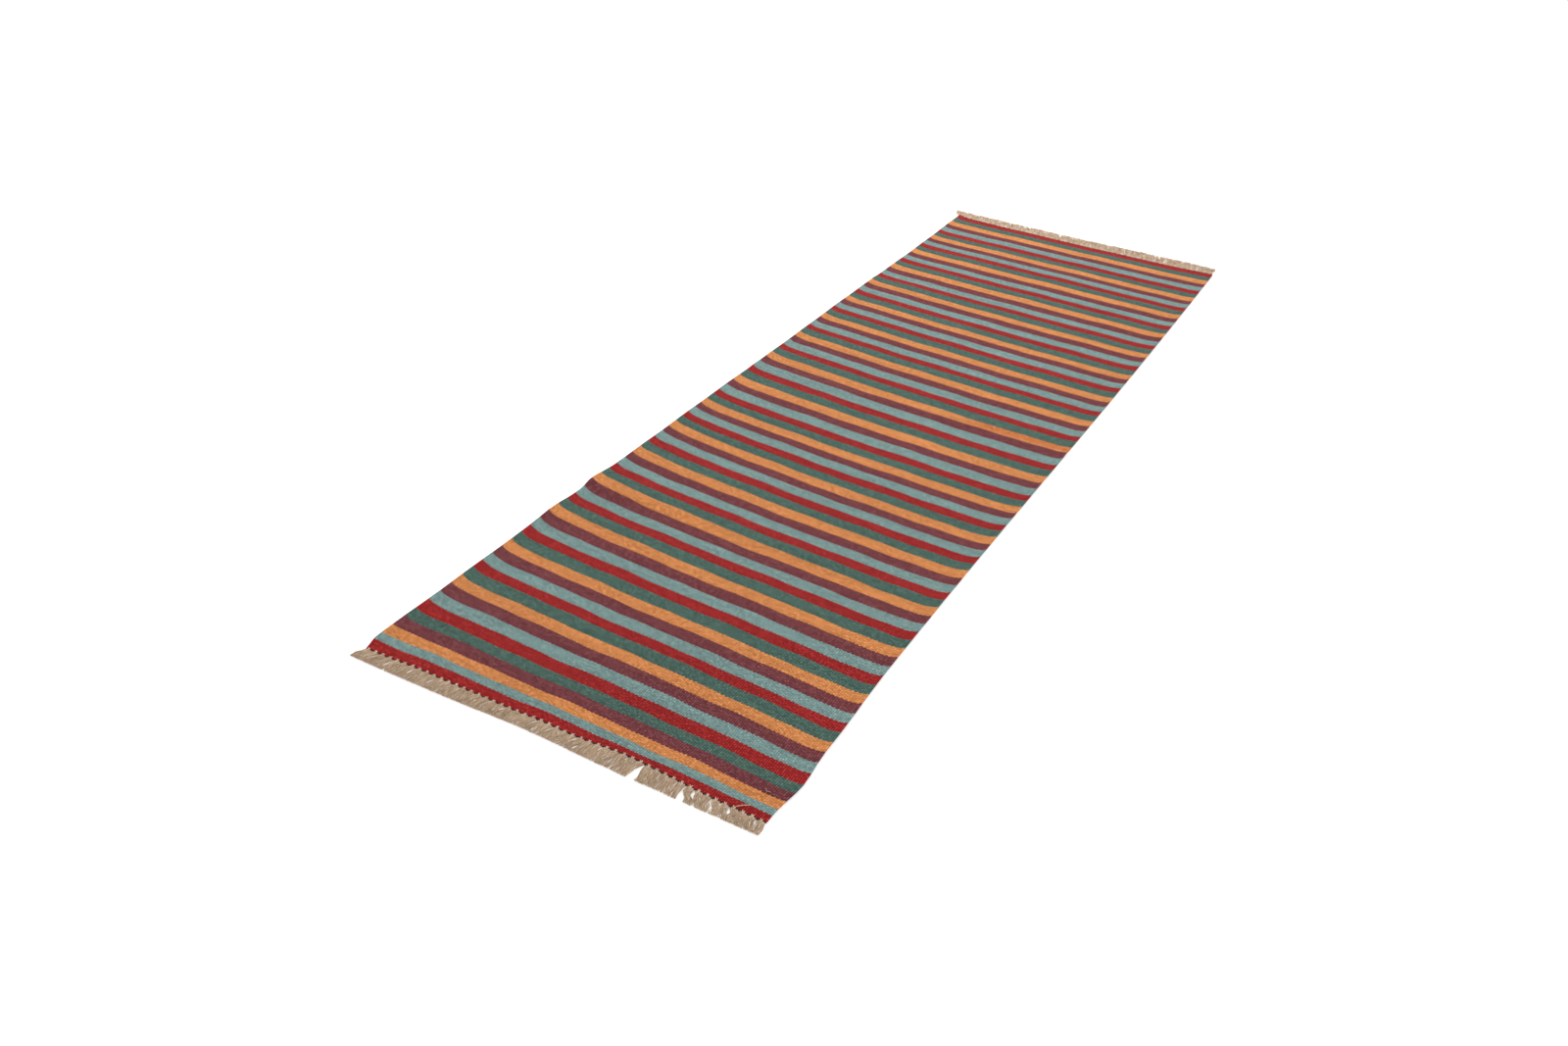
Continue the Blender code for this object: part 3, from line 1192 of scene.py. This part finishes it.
@dataclass
class EndFinish:
    """One end of the rug: its twined row, the stitches over the bundle heads and the fringe."""

    lay: Lay
    end: End
    mid_height: float
    bundles: int = 50
    twining_radius: float = 0.00085
    twining_pitch: float = 0.0093
    twining_offset: float = 0.0014
    stitch_radius: float = 0.00095
    strand_radius: float = 0.00090
    strands: int = 28
    neck: float = 0.0074
    steps: int = 11

    def __post_init__(self) -> None:
        """Work out the bundle pitch and the body from the frame."""
        self.pitch = 2.0 * self.lay.half_width / self.bundles
        self.name = self.end.name.lower()
        self.body = f"{self.name}_panel"
        self.edge_y = self.lay.near_end if self.end is End.NEAR else self.lay.far_end
        self.out = self.end.value

    def laid(self, x: Points, out: Points | float, z: Points | float) -> Points:
        """Lay down points that are given from the woven edge.

        Args:
            x: places across.
            out: how far out from the woven edge.
            z: heights in the cloth.

        Returns:
            Their places on the floor.
        """
        x = np.asarray(x, float)
        out, z = np.broadcast_to(out, x.shape), np.broadcast_to(z, x.shape)
        return self.lay.place(np.stack((x, self.edge_y + self.out * out, z), axis=1))

    def twining(self, material: bpy.types.Material) -> bpy.types.Object:
        """Two dark yarns turned round each other along the woven edge.

        Args:
            material: their finish.

        Returns:
            The finished piece.
        """
        yarns = Yarns(f"{self.name}_twined_row", self.twining_radius)
        x = np.linspace(-self.lay.half_width + 0.002, self.lay.half_width - 0.002, 560)
        for start in (0.0, math.pi):
            turn = TURN * x / self.twining_pitch + start
            out = self.twining_offset + 0.00055 * np.cos(turn)
            yarns.add(self.laid(x, out, self.mid_height + 0.0009 * np.sin(turn)))
        piece = yarns.piece(material)
        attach(piece, self.body)
        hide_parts(f"{self.name}_twining")
        return piece

    def stitches(self, material: bpy.types.Material) -> bpy.types.Object:
        """Cream stitches that climb from each bundle head over the twined row into the cloth.

        Args:
            material: their finish.

        Returns:
            The finished piece.
        """
        yarns = Yarns(f"{self.name}_head_stitches", self.stitch_radius)
        rng = np.random.default_rng(11 if self.end is End.NEAR else 12)
        turn = np.linspace(0.0, 1.0, 9)
        for bundle in range(self.bundles):
            middle = -self.lay.half_width + (bundle + 0.5) * self.pitch
            for offset, slant in ((-0.0006, -0.0026), (0.0012, -0.0008)):
                slant = slant * rng.uniform(0.7, 1.3)
                x = middle + offset + slant * turn
                reach = rng.uniform(0.0018, 0.0034)
                out = 0.0036 - (0.0036 + reach) * turn
                z = 2.0 * self.mid_height + 0.0007 * np.sin(math.pi * turn)
                z = z - 0.0016 * turn**6 - 0.0012 * (1.0 - turn) ** 4
                yarns.add(self.laid(x, out, z), 1.0 - 0.35 * turn)
        piece = yarns.piece(material)
        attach(piece, self.body)
        return piece

    def strand(
        self,
        rng: np.random.Generator,
        root: float,
        tip: Vector,
        layer: float,
        lock: Lock,
    ) -> Points:
        """One strand's path, from its bundle head to its trimmed tip.

        Args:
            rng: source of the strand's own variation.
            root: where it starts, across the rug.
            tip: where it ends, laid down.
            layer: 0 at the bottom of the bundle, 1 at the top.
            lock: how its bundle curls.

        Returns:
            The points of its centre line.
        """
        t = np.linspace(0.0, 1.0, self.steps)
        head = self.laid(np.array([root]), 0.0022, self.mid_height - 0.0006 + 0.0016 * layer)[0]
        spread = t ** rng.uniform(0.75, 1.05)
        x = head[0] + (tip.x - head[0]) * spread
        y = head[1] + (tip.y - head[1]) * t
        rest = self.strand_radius + 0.0021 * layer
        z = head[2] + (rest - head[2]) * np.minimum(1.0, 1.5 * t) ** 1.4
        z = z + rng.uniform(0.0, 0.0012) * np.sin(math.pi * t) + tip.z * t**2
        phase, waves = lock.phase + rng.normal(0.0, 0.45), lock.waves * rng.uniform(0.9, 1.1)
        snake = np.sin(TURN * waves * t + phase) - math.sin(phase) * (1.0 - t)
        reach = lock.curl * rng.uniform(0.7, 1.3)
        x = x + reach * snake * np.sin(0.5 * math.pi * np.minimum(1.0, 2.0 * t))
        return np.stack((x, y, np.maximum(z, self.strand_radius)), axis=1)


@dataclass(frozen=True)
class FringeGroup:
    """A run of bundles whose strands were combed and cut together."""

    name: str
    first: int
    last: int
    tip_left: float
    tip_right: float
    curl: float
    ragged: float
    cross: float = 0.24


@dataclass
class Fringe:
    """The fringe of one end, in its groups."""

    finish: EndFinish
    groups: tuple[FringeGroup, ...]
    tip_y: float
    wear: Hump
    raised: float = 0.0

    def build(self, material: bpy.types.Material) -> list[bpy.types.Object]:
        """Each group as one piece.

        Args:
            material: the strands' finish.

        Returns:
            The finished pieces.
        """
        made = []
        for number, group in enumerate(self.groups):
            yarns = Yarns(f"{group.name}_strands", self.finish.strand_radius)
            rng = np.random.default_rng(100 + number + (0 if self.finish.end is End.NEAR else 50))
            tip_pitch = (group.tip_right - group.tip_left) / (group.last - group.first)
            for bundle in range(group.first, group.last):
                self.bundle(yarns, rng, group, bundle, tip_pitch)
            if group.name == "near_fringe_right":
                yarns.add(self.stray_strand(), np.linspace(0.9, 1.15, 9))
            piece = yarns.piece(material)
            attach(piece, self.finish.body)
            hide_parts(group.name)
            made.append(piece)
        return made

    def bundle(
        self,
        yarns: Yarns,
        rng: np.random.Generator,
        group: FringeGroup,
        number: int,
        tip_pitch: float,
    ) -> None:
        """Add the strands of one bundle.

        Args:
            yarns: the piece they are part of.
            rng: source of their variation.
            group: the run of bundles.
            number: which bundle, counted from the left edge.
            tip_pitch: distance between two bundles at the tips.
        """
        finish = self.finish
        head = -finish.lay.half_width + (number + 0.5) * finish.pitch
        middle = group.tip_left + (number - group.first + 0.5) * tip_pitch
        bias = rng.uniform(-1.0, 1.0) * 0.0022
        trim = rng.uniform(0.0, 1.0) * group.ragged
        curl = group.curl * rng.uniform(0.5, 1.4)
        lock = Lock(curl, rng.uniform(0.0, TURN), rng.uniform(0.7, 1.3))
        for index in range(finish.strands):
            place = (index + 0.5) / finish.strands * 2.0 - 1.0
            layer = (index * 0.38196 * 2.0) % 1.0
            side = place + rng.normal(0.0, group.cross)
            side = max(-1.35, min(1.35, side))
            if number == group.first:
                side = max(-1.0, side)
            if number == group.last - 1:
                side = min(0.5, side)
            tip_x = middle + bias + 0.5 * tip_pitch * side
            short = self.wear.at(tip_x) + trim + rng.exponential(0.5) * group.ragged
            tip_y = self.tip_y - finish.out * short
            tip = Vector((tip_x, tip_y, self.raised * rng.uniform(0.45, 1.0)))
            root = head + finish.neck * place * (1.0 - 0.40 * layer)
            path = finish.strand(rng, root, tip, layer, lock)
            swell = np.linspace(1.0, 0.72, finish.steps) * rng.uniform(0.82, 1.12)
            yarns.add(path, swell)

    def stray_strand(self) -> Points:
        """A warp end that has turned back over the cloth from a head on the right.

        Returns:
            The points of its centre line.
        """
        t = np.linspace(0.0, 1.0, 9)
        x = 0.3415 + 0.0200 * t + 0.0010 * np.sin(math.pi * t)
        out = 0.0030 - 0.0190 * t**0.9
        z = 0.0040 + 0.0016 * np.sin(math.pi * np.minimum(1.0, 1.2 * t)) + 0.0004 * t
        return self.finish.laid(x, out, z)


@dataclass
class LooseEnds:
    """Small ends of yarn that stand out of the cloth near the near end."""

    lay: Lay
    radius: float = 0.0006
    tuft: tuple[float, float] = (0.3655, -1.2510)
    tuft_tips: tuple[tuple[float, float], ...] = ((-0.0060, 0.0042), (0.0062, 0.0010))
    floats: tuple[tuple[float, float, float], ...] = (
        (-0.3790, -1.2700, 0.0026),
        (-0.3725, -1.2735, 0.0020),
        (-0.3640, -1.2755, 0.0024),
    )

    def build(self, cream: bpy.types.Material, plum: bpy.types.Material) -> list[bpy.types.Object]:
        """The cream tuft on the right and the plum floats on the left.

        Args:
            cream: the tuft's finish.
            plum: the floats' finish.

        Returns:
            The finished pieces.
        """
        tuft = Yarns("cream_tuft", self.radius)
        t = np.linspace(0.0, 1.0, 7)
        for tip_x, tip_y in self.tuft_tips:
            x = self.tuft[0] + tip_x * t
            y = self.tuft[1] + tip_y * t
            z = 0.0034 + 0.0016 * np.sin(0.8 * math.pi * t)
            tuft.add(self.lay.place(np.stack((x, y, z), axis=1)), 1.0 - 0.3 * t)
        floats = Yarns("plum_floats", self.radius * 0.75)
        for x0, y0, length in self.floats:
            x = x0 + length * (t - 0.5)
            z = 0.0033 + 0.0007 * np.sin(math.pi * t)
            floats.add(self.lay.place(np.stack((x, y0 + 0.0006 * t, z), axis=1)))
        made = [tuft.piece(cream), floats.piece(plum)]
        for piece, slot in zip(made, ("natural_warp", "plum_weft")):
            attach(piece, "near_panel")
        return made


# ---- Studio ----


@dataclass
class Studio:
    """A plain pale floor, soft light all round and the camera."""

    location: tuple[float, float, float] = (1.0997, -2.7039, 1.5018)
    heading: float = 26.96
    downward: float = 32.12
    roll: float = 3.63
    lens: float = 32.33
    floor_size: float = 200.0
    floor_colour: Colour = (0.90, 0.90, 0.90)
    floor_drop: float = 0.0002
    floor_glow: float = 0.34
    world_strength: float = 0.74
    key_place: tuple[float, float, float] = (-1.5, 2.4, 2.8)
    key_size: float = 2.4
    key_power: float = 84.0
    fill_place: tuple[float, float, float] = (2.4, -0.8, 3.2)
    fill_size: float = 3.0
    fill_share: float = 0.30

    def build(self) -> None:
        """Camera first, then the floor and the lights."""
        self.add_camera()
        self.add_floor()
        self.add_light("key", self.key_place, self.key_size, self.key_power)
        self.add_light("fill", self.fill_place, self.fill_size, self.fill_share * self.key_power)
        world = bpy.data.worlds.new("studio")
        world.use_nodes = True
        background = world.node_tree.nodes["Background"]
        background.inputs["Color"].default_value = (1.0, 1.0, 1.0, 1.0)
        background.inputs["Strength"].default_value = self.world_strength
        bpy.context.scene.world = world
        bpy.context.scene.view_settings.view_transform = "Standard"

    def add_camera(self) -> None:
        """The camera, aimed by its heading, its downward tilt and its roll."""
        camera = bpy.data.objects.new("camera", bpy.data.cameras.new("camera"))
        camera.data.lens = self.lens
        camera.data.sensor_width = 36.0
        camera.data.clip_start = 0.05
        turn = Matrix.Rotation(math.radians(self.heading), 4, "Z")
        tilt = Matrix.Rotation(math.radians(90.0 - self.downward), 4, "X")
        roll = Matrix.Rotation(math.radians(self.roll), 4, "Z")
        camera.matrix_world = Matrix.Translation(self.location) @ turn @ tilt @ roll
        bpy.context.scene.collection.objects.link(camera)
        bpy.context.scene.camera = camera

    def add_floor(self) -> None:
        """A wide floor, just under the cloth."""
        bm = bmesh.new()
        bmesh.ops.create_grid(bm, x_segments=1, y_segments=1, size=0.5 * self.floor_size)
        mesh = bpy.data.meshes.new("floor")
        bm.to_mesh(mesh)
        bm.free()
        graph = Graph("pale floor")
        graph.shader.inputs["Base Color"].default_value = (*self.floor_colour, 1.0)
        graph.shader.inputs["Roughness"].default_value = 0.95
        graph.shader.inputs["Emission Color"].default_value = (1.0, 1.0, 1.0, 1.0)
        graph.shader.inputs["Emission Strength"].default_value = self.floor_glow
        floor = add_object("floor", mesh, graph.material)
        mesh.transform(Matrix.Translation((0.0, 0.0, -self.floor_drop)))

    def add_light(self, name: str, place: tuple[float, float, float], size: float, power: float) -> None:
        """A large soft square light, aimed at the middle of the rug.

        Args:
            name: the light's name.
            place: where it stands.
            size: its side.
            power: its power in watts.
        """
        data = bpy.data.lights.new(name, "AREA")
        data.size = size
        data.energy = power
        light = bpy.data.objects.new(name, data)
        aim = Vector(place).to_track_quat("Z", "Y").to_matrix().to_4x4()
        light.matrix_world = Matrix.Translation(place) @ aim
        bpy.context.scene.collection.objects.link(light)


# ---- The whole rug ----


def report(pieces: Sequence[bpy.types.Object]) -> None:
    """Log each piece's name and size.

    Args:
        pieces: the finished pieces.
    """
    for piece in pieces:
        size = [round(side, 4) for side in piece.dimensions]
        LOG.info("%s: %d vertices, %s", piece.name, len(piece.data.vertices), size)


def main() -> None:
    """Build the rug's pieces in order and report them."""
    logging.basicConfig(level=logging.INFO, format="%(name)s %(message)s")
    Studio().build()
    twining_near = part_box("near_twining")
    twining_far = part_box("far_twining")
    near_end = twining_near[1].y + GAP
    far_end = twining_far[0].y - GAP
    half_width = twining_near[1].x
    thickness = twining_near[1].z
    folds = Folds()
    lay = Lay(near_end, far_end, half_width, tuple(crease.place for crease in folds.creases))

    cream = WARP_FINISH.material()
    bleached = STITCH_FINISH.material()
    dark = TWINING_FINISH.material()
    dyed = {dye: finish.material() for dye, finish in WEFT_FINISHES.items()}

    sleeves = Sleeves(lay, folds, thickness)
    report([sleeves.build(stripe, dyed[stripe.dye]) for stripe in Weave(near_end, far_end).stripes()])
    report(Warps(lay, folds, 0.5 * thickness).build(cream))

    near_groups = (
        FringeGroup("near_fringe_left", 0, 36, -0.3980, 0.1690, 0.0013, 0.0006),
        FringeGroup("near_fringe_middle", 36, 41, 0.1800, 0.2620, 0.0016, 0.0007),
        FringeGroup("near_fringe_right", 41, 50, 0.2720, 0.4070, 0.0024, 0.0006),
    )
    far_groups = (FringeGroup("far_fringe", 0, 50, -0.4180, 0.4020, 0.0024, 0.0030),)
    near_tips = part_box("near_fringe_left")[0].y - 0.001
    far_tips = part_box("far_fringe")[1].y - 0.001
    near = EndFinish(lay, End.NEAR, 0.5 * thickness)
    far = EndFinish(lay, End.FAR, 0.5 * thickness)
    fringes = (
        Fringe(near, near_groups, near_tips, Hump(-0.030, 0.130, 0.0060)),
        Fringe(far, far_groups, far_tips, Hump(-0.150, 0.350, 0.0110), 0.0045),
    )
    for fringe in fringes:
        report([fringe.finish.twining(dark), fringe.finish.stitches(bleached)])
        report(fringe.build(cream))
    report(LooseEnds(lay).build(cream, dyed[Dye.PLUM]))


if __name__ == "__main__":
    main()
